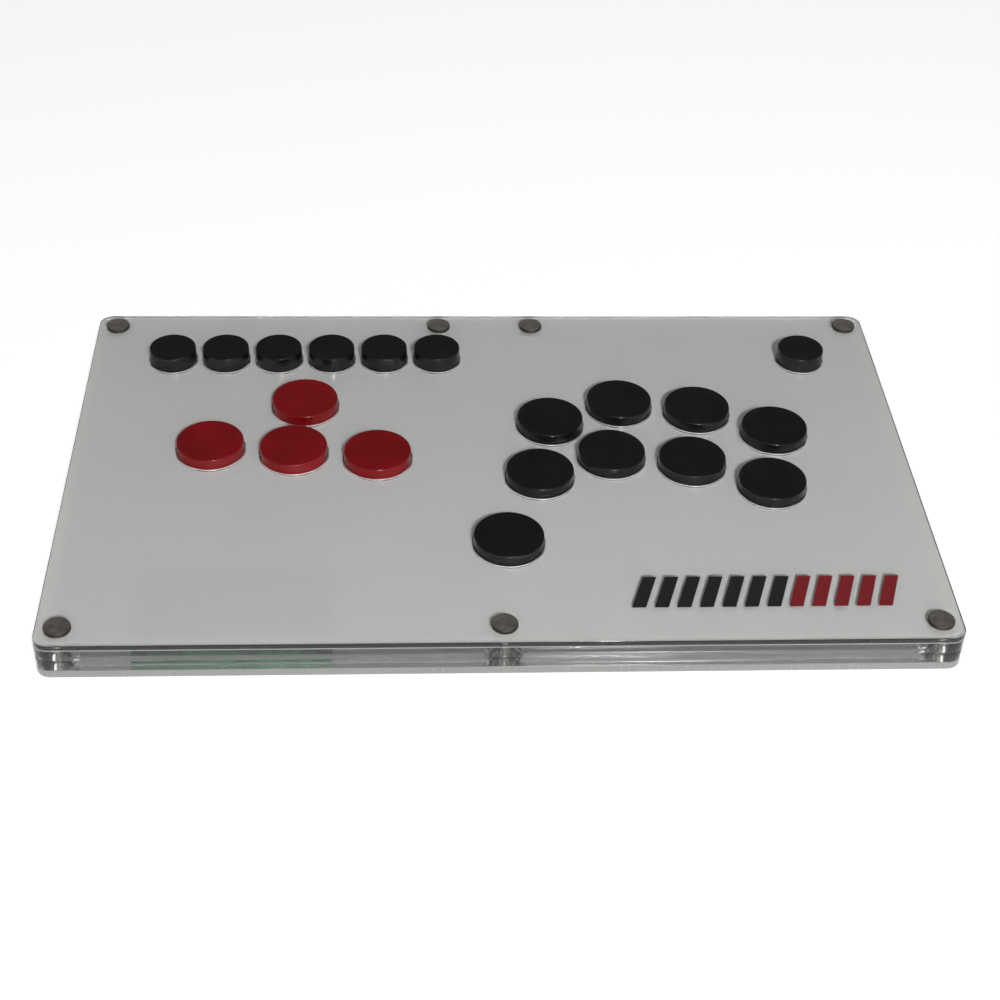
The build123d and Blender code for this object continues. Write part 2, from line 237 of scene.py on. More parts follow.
def turned_nickel():
    """Nickel plate over a lathe-turned face: fine rings about the piece's own axis,
    and a dark band of painted shade round the head's rim, standing in for the dark reflection in
    its edge."""
    paint = Paint("turned_nickel", roughness=0.34, metallic=1.0)
    rings = paint.add("ShaderNodeTexWave", wave_type="RINGS", rings_direction="Z")
    rings.inputs["Scale"].default_value = 900.0
    rings.inputs["Distortion"].default_value = 1.2
    rings.inputs["Detail"].default_value = 3.0
    paint.link(paint.place(), rings.inputs["Vector"])
    tarnish = paint.noise(420.0, 5.0)
    plating = paint.mix(paint.spread(tarnish, 0.35, 0.7), (0.42, 0.39, 0.35), (0.60, 0.56, 0.51))
    split = paint.add("ShaderNodeSeparateXYZ")
    paint.link(paint.place(), split.inputs[0])
    reach = paint.math("MULTIPLY", split.outputs["X"], split.outputs["X"])
    reach = paint.math("MULTIPLY_ADD", split.outputs["Y"], split.outputs["Y"], reach)
    reach = paint.math("SQRT", reach)
    # painted shade: a dark band round the head's rim, in place of a dark reflection
    rim = paint.spread(reach, BOLT_HEAD_R - HEAD_RIM_SHADE_W, BOLT_HEAD_R - HEAD_RIM_SHADE_FULL_W, smooth=True)
    paint.colour(paint.mix(rim, plating, HEAD_RIM_PAINTED_SHADE))
    paint.rough(paint.spread(tarnish, 0.3, 0.75, 0.28, 0.46))
    paint.bump(rings.outputs["Fac"], 0.00002, 0.35)
    return paint.material


def white_film():
    """Milk-white translucent film under the clear top, with painted light: lighter at its
    rim, where light comes in through the clear frame, and a painted shadow, darker and greener,
    where the encoder board lies close below."""
    paint = Paint("white_film", roughness=0.5)
    coords = paint.add("ShaderNodeTexCoord")
    split = paint.add("ShaderNodeSeparateXYZ")
    paint.link(coords.outputs["Object"], split.inputs[0])
    side = paint.math("SUBTRACT", HALF_W, paint.math("ABSOLUTE", split.outputs["X"]))
    end = paint.math("SUBTRACT", HALF_D, paint.math("ABSOLUTE", split.outputs["Y"]))
    edge = paint.math("MINIMUM", side, end)
    # painted light: the film's rim is lighter, where light comes in through the clear frame
    rim = paint.spread(edge, 0.7 * WALL, 1.4 * WALL, 1.0, 0.0, smooth=True)
    # painted shadow: a soft rectangle, darker and greener, where the encoder board lies below
    board_low, board_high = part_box("encoder_board")
    board_shadow_mask = None
    for axis, low, high in (("X", board_low.x, board_high.x), ("Y", board_low.y, board_high.y)):
        along = split.outputs[axis]
        enter = paint.spread(along, low - BOARD_SHADOW_SOFT, low + BOARD_SHADOW_SOFT, smooth=True)
        leave = paint.spread(along, high - BOARD_SHADOW_SOFT, high + BOARD_SHADOW_SOFT, 1.0, 0.0, smooth=True)
        both = paint.math("MULTIPLY", enter, leave)
        board_shadow_mask = both if board_shadow_mask is None else paint.math("MULTIPLY", board_shadow_mask, both)
    clouds = paint.noise(9.0, 2.0)
    core = paint.mix(paint.spread(clouds, 0.3, 0.7), FILM_CORE, FILM_WARM)
    # the painted board shadow mixed into the film's colour
    shaded = paint.mix(paint.math("MULTIPLY", board_shadow_mask, BOARD_SHADOW_SHARE), core, FILM_BOARD_SHADOW)
    # the painted rim light laid over the film's colour
    tint = paint.mix(rim, shaded, FILM_RIM_PAINTED_LIGHT)
    paint.colour(tint)
    fibres = paint.noise(900.0, 4.0)
    paint.rough(paint.spread(fibres, 0.3, 0.7, 0.4, 0.6))
    paint.bump(fibres, 0.00001, 0.3)
    glow = paint.add("ShaderNodeBsdfTranslucent")
    paint.link(tint, glow.inputs["Color"])
    paint.let_light_through(FILM_PASS, glow, FILM_GLOW)
    return paint.material


def cut_edges(paint):
    """Upright striations that laser cutting leaves on a sheet's edges, 0 on its faces."""
    shape = paint.add("ShaderNodeNewGeometry")
    split = paint.add("ShaderNodeSeparateXYZ")
    paint.link(shape.outputs["True Normal"], split.inputs[0])
    upright = paint.spread(paint.math("ABSOLUTE", split.outputs["Z"]), 0.2, 0.5, 1.0, 0.0)
    striations = paint.math("MULTIPLY", paint.noise(1400.0, 4.0, (1.0, 1.0, 0.02)), upright)
    return upright, striations


def clear_acrylic():
    """Water-clear sheet: wiping marks on its faces, and slightly hazy cut edges."""
    paint = Paint("clear_acrylic", roughness=0.02)
    upright, striations = cut_edges(paint)
    tint = paint.mix(paint.spread(striations, 0.3, 0.8), (0.965, 0.97, 0.965), (0.87, 0.88, 0.87))
    paint.colour(tint)
    haze = paint.spread(upright, 0.0, 1.0, 1.0, 1.0 - EDGE_HAZE)
    paint.link(haze, paint.shader.inputs["Transmission Weight"])
    wipes = paint.spread(paint.noise(60.0, 6.0, (1.0, 0.3, 1.0)), 0.4, 0.8, 0.0, 0.03)
    paint.rough(paint.math("MULTIPLY_ADD", striations, 0.08, wipes))
    paint.bump(striations, 0.00001, 0.25)
    paint.let_light_through(paint.spread(upright, 0.0, 1.0, CLEAR_PASS, EDGE_PASS))
    return paint.material


def milky_acrylic():
    """Milk-white sheet painted grey as the shade inside the case; smooth and faintly cloudy, with
    striations on its cut edges.
    """
    paint = Paint("milky_acrylic", roughness=0.2)
    striations = cut_edges(paint)[1]
    # painted shade: grey for the dim light inside the case, with faint clouds
    clouds = paint.mix(paint.spread(paint.noise(12.0, 2.0), 0.3, 0.7), MILK_PAINTED_SHADE_LOW, MILK_PAINTED_SHADE_HIGH)
    paint.colour(clouds)
    wipes = paint.spread(paint.noise(60.0, 6.0, (1.0, 0.3, 1.0)), 0.4, 0.8, 0.12, 0.25)
    paint.rough(paint.math("MULTIPLY_ADD", striations, 0.2, wipes))
    paint.bump(striations, 0.00001, 0.3)
    glow = paint.add("ShaderNodeBsdfTranslucent")
    paint.link(clouds, glow.inputs["Color"])
    paint.let_light_through(MILK_PASS, glow, MILK_GLOW)
    return paint.material


def board_mask(name, mask, track):
    """Solder mask over copper tracks: straight runs with a slight relief."""
    paint = Paint(name, roughness=0.35)
    runs = None
    for stretch in ((1.0, 0.06, 1.0), (0.06, 1.0, 1.0)):
        cells = paint.add("ShaderNodeTexVoronoi", feature="DISTANCE_TO_EDGE")
        cells.inputs["Scale"].default_value = 260.0
        cells.inputs["Randomness"].default_value = 0.55
        paint.link(paint.place(stretch), cells.inputs["Vector"])
        line = paint.spread(cells.outputs["Distance"], 0.05, 0.12, 1.0, 0.0, smooth=True)
        runs = line if runs is None else paint.math("MAXIMUM", runs, line)
    zones = paint.spread(paint.noise(55.0, 1.0), 0.46, 0.5)
    tracks = paint.math("MULTIPLY", runs, zones)
    paint.colour(paint.mix(tracks, mask, track))
    paint.rough(paint.spread(paint.noise(500.0, 4.0), 0.3, 0.7, 0.28, 0.42))
    paint.bump(tracks, 0.00004, 0.8)
    return paint.material


def rubber():
    paint = Paint("foot_rubber", roughness=0.8)
    dust = paint.noise(380.0, 6.0)
    dustiness = paint.spread(dust, 0.45, 0.8)
    paint.colour(paint.mix(dustiness, (0.018, 0.018, 0.019), (0.06, 0.058, 0.055)))
    paint.rough(paint.spread(dust, 0.3, 0.7, 0.7, 0.92))
    paint.bump(paint.noise(1800.0, 4.0), 0.00006, 0.7)
    return paint.material


def floor_paint():
    paint = Paint("studio_floor", roughness=0.9)
    paint.colour(paint.mix(paint.noise(2.0, 2.0), (0.92, 0.92, 0.92), (0.94, 0.94, 0.94)))
    paint.set("Emission Color", (1.0, 1.0, 1.0, 1.0))
    paint.set("Emission Strength", 0.5)
    return paint.material


# colours and shares of light that the materials above use
# painted shade on the bolt heads' rims: its colour and the widths of its band
HEAD_RIM_PAINTED_SHADE = (0.10, 0.092, 0.08)
HEAD_RIM_SHADE_W = 0.45 * MM
HEAD_RIM_SHADE_FULL_W = 0.15 * MM
FILM_CORE = (0.58, 0.585, 0.585)
FILM_WARM = (0.60, 0.595, 0.585)
# painted shadow of the encoder board on the film, tinted green
FILM_BOARD_SHADOW = (0.50, 0.53, 0.51)
# painted light along the film's rim
FILM_RIM_PAINTED_LIGHT = (0.62, 0.615, 0.60)
# the painted board shadow's soft edge and its share
BOARD_SHADOW_SOFT = 2.5 * MM
BOARD_SHADOW_SHARE = 0.3
FILM_PASS = 0.35
FILM_GLOW = 0.3
CLEAR_PASS = 0.9
EDGE_PASS = 0.4
EDGE_HAZE = 0.02
# painted shade: the milk-white base is painted grey for the dim light inside the case
MILK_PAINTED_SHADE_LOW = (0.34, 0.34, 0.33)
MILK_PAINTED_SHADE_HIGH = (0.38, 0.38, 0.37)
MILK_PASS = 0.1
MILK_GLOW = 0.1

MATERIALS = {
    "white_film": white_film(),
    "clear_acrylic": clear_acrylic(),
    "milky_acrylic": milky_acrylic(),
    "nickel_steel": turned_nickel(),
    "foot_rubber": rubber(),
    "switch_housing": moulded("switch_housing", (0.012, 0.012, 0.013), (0.022, 0.022, 0.024)),
    "stem_plastic": moulded("stem_plastic", (0.30, 0.02, 0.015), (0.36, 0.03, 0.02), 0.35),
    "chip_body": moulded("chip_body", (0.012, 0.012, 0.012), (0.03, 0.03, 0.03), 0.5),
    "spacer_nylon": moulded("spacer_nylon", (0.70, 0.68, 0.62), (0.78, 0.76, 0.70)),
    "spring_steel": metal("spring_steel", (0.45, 0.45, 0.46), (0.62, 0.62, 0.63), 0.25),
    "contact_brass": metal("contact_gold", (0.75, 0.52, 0.20), (0.86, 0.66, 0.30), 0.28),
    "port_steel": metal("port_steel", (0.50, 0.50, 0.51), (0.66, 0.66, 0.67), 0.3),
    "black_board": board_mask("black_board", (0.010, 0.011, 0.012), (0.030, 0.032, 0.034)),
    "green_board": board_mask("green_board", (0.006, 0.11, 0.045), (0.018, 0.20, 0.085)),
    "black_cap": cap_plastic("black_cap", (0.0045, 0.0046, 0.005), (0.0075, 0.0077, 0.0085)),
    "red_cap": cap_plastic("red_cap", (0.20, 0.0015, 0.003), (0.27, 0.003, 0.006)),
}
SOLDER = metal("solder_tin", (0.55, 0.55, 0.56), (0.72, 0.72, 0.73), 0.3)
CERAMIC = moulded("ceramic_body", (0.30, 0.22, 0.14), (0.42, 0.32, 0.22), 0.4)
BLACK_PRINT = moulded("black_print", (0.006, 0.006, 0.007), (0.012, 0.012, 0.013), 0.5)
RED_PRINT = moulded("red_print", (0.22, 0.006, 0.010), (0.27, 0.010, 0.014), 0.5)


# ---- mesh helpers ----
LEVEL = 1e-6


def smooth_by_angle(mesh, degrees=32.0):
    """Smooth shading over gentle folds; level faces stay flat."""
    mesh.set_sharp_from_angle(angle=math.radians(degrees))
    for face in mesh.polygons:
        heights = [mesh.vertices[i].co.z for i in face.vertices]
        face.use_smooth = max(heights) - min(heights) > LEVEL


def piece(name, mesh, slot, body="case", material=None, replaces=()):
    """Link a mesh as a piece of the object, with its finish, body and replaced nodes."""
    thing = bpy.data.objects.new(name, mesh)
    bpy.context.scene.collection.objects.link(thing)
    mesh.materials.clear()
    mesh.materials.append(material or MATERIALS[slot])
    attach(thing, body)
    if replaces:
        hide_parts(*replaces)
    return thing


def mesh_from(bm, name, degrees=32.0):
    bmesh.ops.recalc_face_normals(bm, faces=bm.faces)
    mesh = bpy.data.meshes.new(name)
    bm.to_mesh(mesh)
    bm.free()
    smooth_by_angle(mesh, degrees)
    return mesh


def spin_profile(bm, profile, x=0.0, y=0.0, steps=96):
    """Turn a closed (radius, z) outline about an upright axis. Radius 0 is a point."""
    rings = []
    for radius, z in profile:
        if radius < 1e-9:
            rings.append([bm.verts.new((x, y, z))])
            continue
        turns = [2 * math.pi * i / steps for i in range(steps)]
        rings.append(
            [bm.verts.new((x + radius * math.cos(a), y + radius * math.sin(a), z)) for a in turns]
        )
    for first, second in zip(rings, rings[1:] + rings[:1]):
        if len(first) == 1 and len(second) == 1:
            continue
        for i in range(steps):
            j = (i + 1) % steps
            if len(first) == 1:
                bm.faces.new((first[0], second[i], second[j]))
            elif len(second) == 1:
                bm.faces.new((first[i], second[0], first[j]))
            else:
                bm.faces.new((first[i], second[i], second[j], first[j]))


def arc(cx, cz, radius, start, end, steps):
    """Points of an arc, angles in degrees."""
    angles = [math.radians(start + (end - start) * i / steps) for i in range(steps + 1)]
    return [(cx + radius * math.cos(a), cz + radius * math.sin(a)) for a in angles]


def add_box(bm, low, high, bevel=0.0):
    """A box between two corners, with its edges rounded when bevel is given."""
    made = bmesh.ops.create_cube(bm, size=1.0)["verts"]
    size = [h - l for l, h in zip(low, high)]
    middle = [(h + l) / 2 for l, h in zip(low, high)]
    bmesh.ops.scale(bm, vec=size, verts=made)
    bmesh.ops.translate(bm, vec=middle, verts=made)
    if bevel:
        edges = list({edge for vert in made for edge in vert.link_edges})
        bmesh.ops.bevel(bm, geom=edges, offset=bevel, segments=2, affect="EDGES", profile=0.5)


def plate(name, outlines, bottom, top, bevel=BEVEL):
    """A flat sheet between two heights whose closed outlines may hold holes, with
    every edge rounded. The outlines are filled as a 2-D curve and then meshed."""
    curve = bpy.data.curves.new(name, "CURVE")
    curve.dimensions = "2D"
    curve.fill_mode = "BOTH"
    curve.extrude = (top - bottom) / 2 - bevel
    curve.bevel_depth = bevel
    curve.bevel_resolution = 2
    curve.offset = -bevel
    for points in outlines:
        spline = curve.splines.new("POLY")
        spline.points.add(len(points) - 1)
        for target, (x, y) in zip(spline.points, points):
            target.co = (x, y, 0.0, 1.0)
        spline.use_cyclic_u = True
    holder = bpy.data.objects.new(name + "_outline", curve)
    bpy.context.scene.collection.objects.link(holder)
    bpy.context.view_layer.update()
    depsgraph = bpy.context.evaluated_depsgraph_get()
    mesh = bpy.data.meshes.new_from_object(holder.evaluated_get(depsgraph))
    bpy.data.objects.remove(holder)
    mesh.transform(Matrix.Translation((0, 0, (bottom + top) / 2)))
    bm = bmesh.new()
    bm.from_mesh(mesh)
    bmesh.ops.remove_doubles(bm, verts=bm.verts, dist=1e-7)
    bpy.data.meshes.remove(mesh)
    return mesh_from(bm, name, 40.0)


# ---- outlines of the case sheets ----
def rounded_corners(half_w, half_d, radius, steps=12):
    """The four corner arcs of a rounded rectangle, counter-clockwise from the back right."""
    arcs = []
    for i, (sx, sy) in enumerate(((1, 1), (-1, 1), (-1, -1), (1, -1))):
        centre = (sx * (half_w - radius), sy * (half_d - radius))
        arcs.append(arc(*centre, radius, 90 * i, 90 * i + 90, steps))
    return arcs


def sheet_outline():
    return [point for corner in rounded_corners(HALF_W, HALF_D, CORNER_R) for point in corner]


def circle(x, y, radius, steps=96):
    return arc(x, y, radius, 0, 360 * (steps - 1) / steps, steps - 1)


def boss_bulge(x, y, start, end):
    return arc(x, y, BOSS_R, start, end, 14)


def ring_outline():
    """The frame's outline: outer edge, then back along the inner edge with the
    bulges round the bolts. It is open at the back for the cable plug."""
    inner_y = HALF_D - WALL
    inner_x = HALF_W - WALL
    rise_y = math.degrees(math.asin((inner_y - BOLT_Y) / BOSS_R))
    rise_x = math.degrees(math.acos((inner_x - BOLT_X) / BOSS_R))
    outer = rounded_corners(HALF_W, HALF_D, CORNER_R)
    points = [(-PORT_HALF_W, HALF_D)]
    for corner in (outer[1], outer[2], outer[3], outer[0]):
        points += corner
    points += [(PORT_HALF_W, HALF_D), (PORT_HALF_W, inner_y)]
    points += boss_bulge(PORT_BOLT_X, BOLT_Y, 180 - rise_y, 360 + rise_y)
    points += boss_bulge(BOLT_X, BOLT_Y, 180 - rise_y, 360 - rise_x)
    points += boss_bulge(BOLT_X, -BOLT_Y, rise_x, 180 + rise_y)
    points += boss_bulge(0.0, -BOLT_Y, -rise_y, 180 + rise_y)
    points += boss_bulge(-BOLT_X, -BOLT_Y, -rise_y, 180 - rise_x)
    points += boss_bulge(-BOLT_X, BOLT_Y, 180 + rise_x, 360 + rise_y)
    points += boss_bulge(-PORT_BOLT_X, BOLT_Y, 180 - rise_y, 360 + rise_y)
    points += [(-PORT_HALF_W, inner_y)]
    return points


def bolt_holes():
    return [circle(x, y, BOLT_HOLE_R, 40) for x, y in BOLTS]


def case_sheets():
    holes = bolt_holes()
    for name in CAPS:
        x, y = cap_centre(name)
        holes.append(circle(x, y, SMALL_HOLE_R if is_small(name) else LARGE_HOLE_R))
    mesh = plate("top_sheet", [sheet_outline()] + holes, PANEL_BOTTOM + JOINT_GAP, PANEL_TOP)
    piece("top_sheet", mesh, "clear_acrylic", replaces=["top_panel"])
    low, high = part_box("white_underlay")
    mesh = plate("underlay_film", [sheet_outline()] + holes, low.z, high.z - JOINT_GAP, FILM_BEVEL)
    piece("underlay_film", mesh, "white_film", replaces=["white_underlay"])
    for node in ("upper_frame", "lower_frame"):
        low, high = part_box(node)
        mesh = plate(node + "_layer", [ring_outline()] + bolt_holes(),
                     low.z + JOINT_GAP, high.z - JOINT_GAP)
        piece(node + "_layer", mesh, "clear_acrylic", replaces=[node])
    piece("base_sheet", base_mesh(), "milky_acrylic", replaces=["base_panel"])


def base_mesh():
    """The base sheet, with a round pocket from below at every bolt hole."""
    below = BASE_BOTTOM - NUT_POCKET_TOP
    bm = bmesh.new()
    for x, y in BOLTS:
        spin_profile(bm, [(0.0, below), (NUT_POCKET_R, below), (NUT_POCKET_R, NUT_POCKET_TOP),
                          (0.0, NUT_POCKET_TOP)], x, y, 48)
    cutter = bpy.data.objects.new("pocket_cutter", mesh_from(bm, "pocket_cutter"))
    blank_mesh = plate("base_blank", [sheet_outline()] + bolt_holes(), BASE_BOTTOM, BASE_TOP)
    blank = bpy.data.objects.new("base_blank", blank_mesh)
    for thing in (cutter, blank):
        bpy.context.scene.collection.objects.link(thing)
    cut = blank.modifiers.new("pockets", "BOOLEAN")
    cut.operation = "DIFFERENCE"
    cut.object = cutter
    bpy.context.view_layer.update()
    depsgraph = bpy.context.evaluated_depsgraph_get()
    bm = bmesh.new()
    bm.from_object(blank, depsgraph)
    bpy.data.objects.remove(blank)
    bpy.data.objects.remove(cutter)
    return mesh_from(bm, "base_sheet", 40.0)


# ---- buttons ----
CAP_ROOF = 1.5 * MM
CAP_RIM_R = 0.4 * MM
DISH = 0.12 * MM
LARGE_SHAPE = (12.15 * MM, 12.0 * MM, 10.9 * MM)
SMALL_SHAPE = (8.8 * MM, 8.7 * MM, 7.5 * MM)
STEM_SLOT_X = 2.85 * MM
PRONG_HALF = (0.55 * MM, 1.45 * MM)
PRONG_REACH = 2.9 * MM
CAP_BOSS_HALF = (4.5 * MM, 2.1 * MM)
CAP_OVERLAP = 0.3 * MM


def stem_top_of(name):
    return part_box("stem_" + name.removeprefix("cap_"))[1].z


def cap_profile(name):
    """Half outline of a cap: dished top, rounded rim, tapered side and inner walls.
    A large cap's skirt reaches below its prongs; a small cap's ends at its stem's top."""
    low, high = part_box(name)
    base_r, top_r, bore_r = SMALL_SHAPE if is_small(name) else LARGE_SHAPE
    bottom = stem_top_of(name) if is_small(name) else low.z
    dish_r = top_r - 1.6 * MM
    dish = [
        (dish_r * i / 8, high.z - DISH * (1 - (i / 8) ** 2) ** 2) for i in range(9)
    ]
    rim = arc(top_r - CAP_RIM_R, high.z - CAP_RIM_R, CAP_RIM_R, 90, 8, 8)
    lip = 0.25 * MM
    side = [(base_r, PANEL_TOP), (base_r, bottom + lip), (base_r - lip, bottom)]
    bore = [(bore_r + lip, bottom), (bore_r, bottom + lip)]
    ceiling = high.z - CAP_ROOF
    crown = arc(bore_r - 0.8 * MM, ceiling - 0.8 * MM, 0.8 * MM, 0, 90, 4)
    return dish + rim + side + bore + crown + [(0.0, ceiling)]


def button_caps():
    for name in CAPS:
        x, y = cap_centre(name)
        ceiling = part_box(name)[1].z - CAP_ROOF
        stem_top = stem_top_of(name)
        bm = bmesh.new()
        spin_profile(bm, cap_profile(name), x, y, 128)
        add_box(bm, (x - CAP_BOSS_HALF[0], y - CAP_BOSS_HALF[1], stem_top),
                (x + CAP_BOSS_HALF[0], y + CAP_BOSS_HALF[1], ceiling + CAP_OVERLAP), 0.2 * MM)
        for side in (-1, 1):
            middle = x + side * STEM_SLOT_X
            add_box(bm, (middle - PRONG_HALF[0], y - PRONG_HALF[1], stem_top - PRONG_REACH),
                    (middle + PRONG_HALF[0], y + PRONG_HALF[1], stem_top + CAP_OVERLAP), 0.1 * MM)
        colour = "red_cap" if name in RED_CAPS else "black_cap"
        body = "button_" + name.removeprefix("cap_")
        piece(name + "_shell", mesh_from(bm, name + "_shell"), colour, body, replaces=[name])


# ---- case fasteners ----
THREAD_PITCH = 0.7 * MM
THREAD_DEPTH = 0.38 * MM
NUT_ACROSS_FLATS = 7.0 * MM
HEAD_EDGE = 0.28 * MM
NECK_L = 1.2 * MM
THREAD_START = 1.1 * MM


def add_thread(bm, top, bottom, steps=28):
    """A closed screw thread: one long strip wound down, with crests and roots."""
    turns = (top - bottom) / THREAD_PITCH - 1.0
    count = int(turns * steps)
    root = BOLT_R - THREAD_DEPTH
    shape = [(root, 0.0), (BOLT_R, 0.32), (BOLT_R, 0.46), (root, 0.78)]
    rows = []
    for i in range(count + 1):
        angle = 2 * math.pi * i / steps
        fade = min(1.0, i / steps, (count - i) / steps)
        z = top - THREAD_PITCH * (i / steps)
        row = []
        for radius, share in shape:
            r = root + (radius - root) * fade
            point = (r * math.cos(angle), r * math.sin(angle), z - share * THREAD_PITCH)
            row.append(bm.verts.new(point))
        rows.append(row)
    for first, second in zip(rows, rows[1:]):
        for k in range(3):
            bm.faces.new((first[k], first[k + 1], second[k + 1], second[k]))
        bm.faces.new((first[3], first[0], second[0], second[3]))
    bm.faces.new(rows[0])
    bm.faces.new(rows[-1])
    core = root + 0.01 * MM
    spin_profile(bm, [(0.0, top), (core, top), (core, bottom + 0.3 * MM),
                      (core - 0.3 * MM, bottom), (0.0, bottom)], steps=steps)


def case_bolts():
    low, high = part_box("case_bolts")
    for i, (x, y) in enumerate(BOLTS):
        bm = bmesh.new()
        edge_r = BOLT_HEAD_R - HEAD_EDGE
        head = [(0.0, high.z), (edge_r, high.z)]
        head += arc(edge_r, high.z - HEAD_EDGE, HEAD_EDGE, 75, 0, 4)
        head += [(BOLT_HEAD_R, PANEL_TOP + 0.1 * MM), (BOLT_HEAD_R - 0.1 * MM, PANEL_TOP)]
        neck = BOLT_R - 0.05 * MM
        head += [(neck, PANEL_TOP), (neck, PANEL_TOP - NECK_L), (0.0, PANEL_TOP - NECK_L)]
        spin_profile(bm, head, steps=72)
        add_thread(bm, PANEL_TOP - THREAD_START, low.z)
        mesh = mesh_from(bm, f"case_bolt_{i + 1}", 30.0)
        place_turned(mesh, f"case_bolt_{i + 1}", x, y, ["case_bolts"])


def case_nuts():
    """Hexagon nuts with the corners turned off top and bottom."""
    low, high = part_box("case_nuts")
    corner_r = NUT_ACROSS_FLATS / 2 / math.cos(math.pi / 6)
    flat_r = NUT_ACROSS_FLATS / 2
    bore_r = BOLT_R + 0.05 * MM
    steps = 48
    drop = 0.35 * MM
    for i, (x, y) in enumerate(BOLTS):
        bm = bmesh.new()
        rings = []
        levels = [(low.z, drop), (low.z + drop, 0.0), (high.z - drop, 0.0), (high.z, drop)]
        for z, inset in levels:
            row = []
            for k in range(steps):
                angle = 2 * math.pi * k / steps
                fold = (angle + math.pi / 6) % (math.pi / 3) - math.pi / 6
                hexagon = flat_r / math.cos(fold)
                radius = min(hexagon, corner_r - 1.6 * inset) if inset else hexagon
                row.append(bm.verts.new((radius * math.cos(angle), radius * math.sin(angle), z)))
            rings.append(row)
        for z, extra in reversed(levels):
            radius = bore_r + extra
            rings.append([
                bm.verts.new((radius * math.cos(2 * math.pi * k / steps),
                              radius * math.sin(2 * math.pi * k / steps), z))
                for k in range(steps)
            ])
        for first, second in zip(rings, rings[1:] + rings[:1]):
            for k in range(steps):
                j = (k + 1) % steps
                bm.faces.new((first[k], first[j], second[j], second[k]))
        mesh = mesh_from(bm, f"case_nut_{i + 1}", 30.0)
        place_turned(mesh, f"case_nut_{i + 1}", x, y, ["case_nuts"])


def place_turned(mesh, name, x, y, replaced):
    """Put a turned piece on its own axis, so that its rings are centred on it."""
    thing = bpy.data.objects.new(name, mesh)
    bpy.context.scene.collection.objects.link(thing)
    thing.location = (x, y, 0.0)
    mesh.materials.append(MATERIALS["nickel_steel"])
    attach(thing, "case")
    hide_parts(*replaced)


def rubber_feet():
    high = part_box("rubber_feet")[1]
    foot_r = 7.0 * MM
    edge = 0.4 * MM
    profile = [(0.0, 0.35 * MM), (2.4 * MM, 0.35 * MM), (2.9 * MM, 0.0), (foot_r - edge, 0.0)]
    profile += arc(foot_r - edge, edge, edge, -75, 0, 4)
    profile += [(foot_r, high.z), (0.0, high.z)]
    reach_x = high.x - foot_r
    reach_y = high.y - foot_r
    bm = bmesh.new()
    for x in (-reach_x, 0.0, reach_x):
        for y in (-reach_y, reach_y):
            spin_profile(bm, profile, x, y, 64)
    piece("moulded_feet", mesh_from(bm, "moulded_feet"), "foot_rubber", replaces=["rubber_feet"])


# ---- small parts on the boards ----
HEADER_PINS = 9
HEADER_PITCH = 2.54 * MM
PIN_HALF = 0.32 * MM
PLUG_Y = (-62.0 * MM, -59.5 * MM)
SOCKET_Y = (-53.8 * MM, -46.8 * MM)
PIN_TIP_Y = -48.0 * MM
CONTACT_X = 2.5 * MM
CONTACT_Y = (5.3 * MM, 5.9 * MM)
SOLDER_R = 1.05 * MM


def header_pin_places():
    low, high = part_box("board_header")
    middle = (low.x + high.x) / 2
    return [middle + HEADER_PITCH * (i - (HEADER_PINS - 1) / 2) for i in range(HEADER_PINS)]


def board_header():
    """Two strips of notched plastic and the row of angled pins that joins them."""
    low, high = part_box("board_header")
    board_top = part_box("encoder_board")[1].z
    level = (board_top + high.z) / 2
    plastic = bmesh.new()
    metal_bm = bmesh.new()
    for x in header_pin_places():
        for front, back in (PLUG_Y, SOCKET_Y):
            add_box(plastic, (x - HEADER_PITCH / 2, front, board_top),
                    (x + HEADER_PITCH / 2, back, high.z), 0.22 * MM)
        add_box(metal_bm, (x - PIN_HALF, low.y, level - PIN_HALF),
                (x + PIN_HALF, PIN_TIP_Y, level + PIN_HALF), 0.1 * MM)
        add_box(metal_bm, (x - PIN_HALF, low.y, low.z),
                (x + PIN_HALF, low.y + 2 * PIN_HALF, level), 0.1 * MM)
    piece("header_strips", mesh_from(plastic, "header_strips"), "chip_body",
          replaces=["board_header"])
    piece("header_pins", mesh_from(metal_bm, "header_pins"), "contact_brass")


def solder_joints():
    """A small cone of solder round every pin, under both boards."""
    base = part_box("switch_board")[0].z
    header_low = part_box("board_header")[0]
    tip = header_low.z
    places = [(x, header_low.y + PIN_HALF) for x in header_pin_places()]
    for name in CAPS:
        x, y = cap_centre(name)
        places += [(x - CONTACT_X, y + CONTACT_Y[0]), (x + CONTACT_X, y + CONTACT_Y[1])]
    drop = base - tip
    profile = [(0.0, base), (SOLDER_R, base)]
    profile += [(0.95 * SOLDER_R, base - 0.15 * drop), (0.62 * SOLDER_R, base - 0.45 * drop)]
    profile += [(0.42 * SOLDER_R, tip), (0.0, tip)]
    bm = bmesh.new()
    for x, y in places:
        spin_profile(bm, profile, x, y, 20)
    piece("solder_joints", mesh_from(bm, "solder_joints"), "spring_steel", material=SOLDER)


CHIP_HALF = 5.0 * MM
CHIP_OFFSET_Y = -2.5 * MM
LEGS = 14
LEG_PITCH = 0.65 * MM
LEG_REACH = 1.1 * MM
LEG_HALF = 0.14 * MM
LEG_T = 0.18 * MM


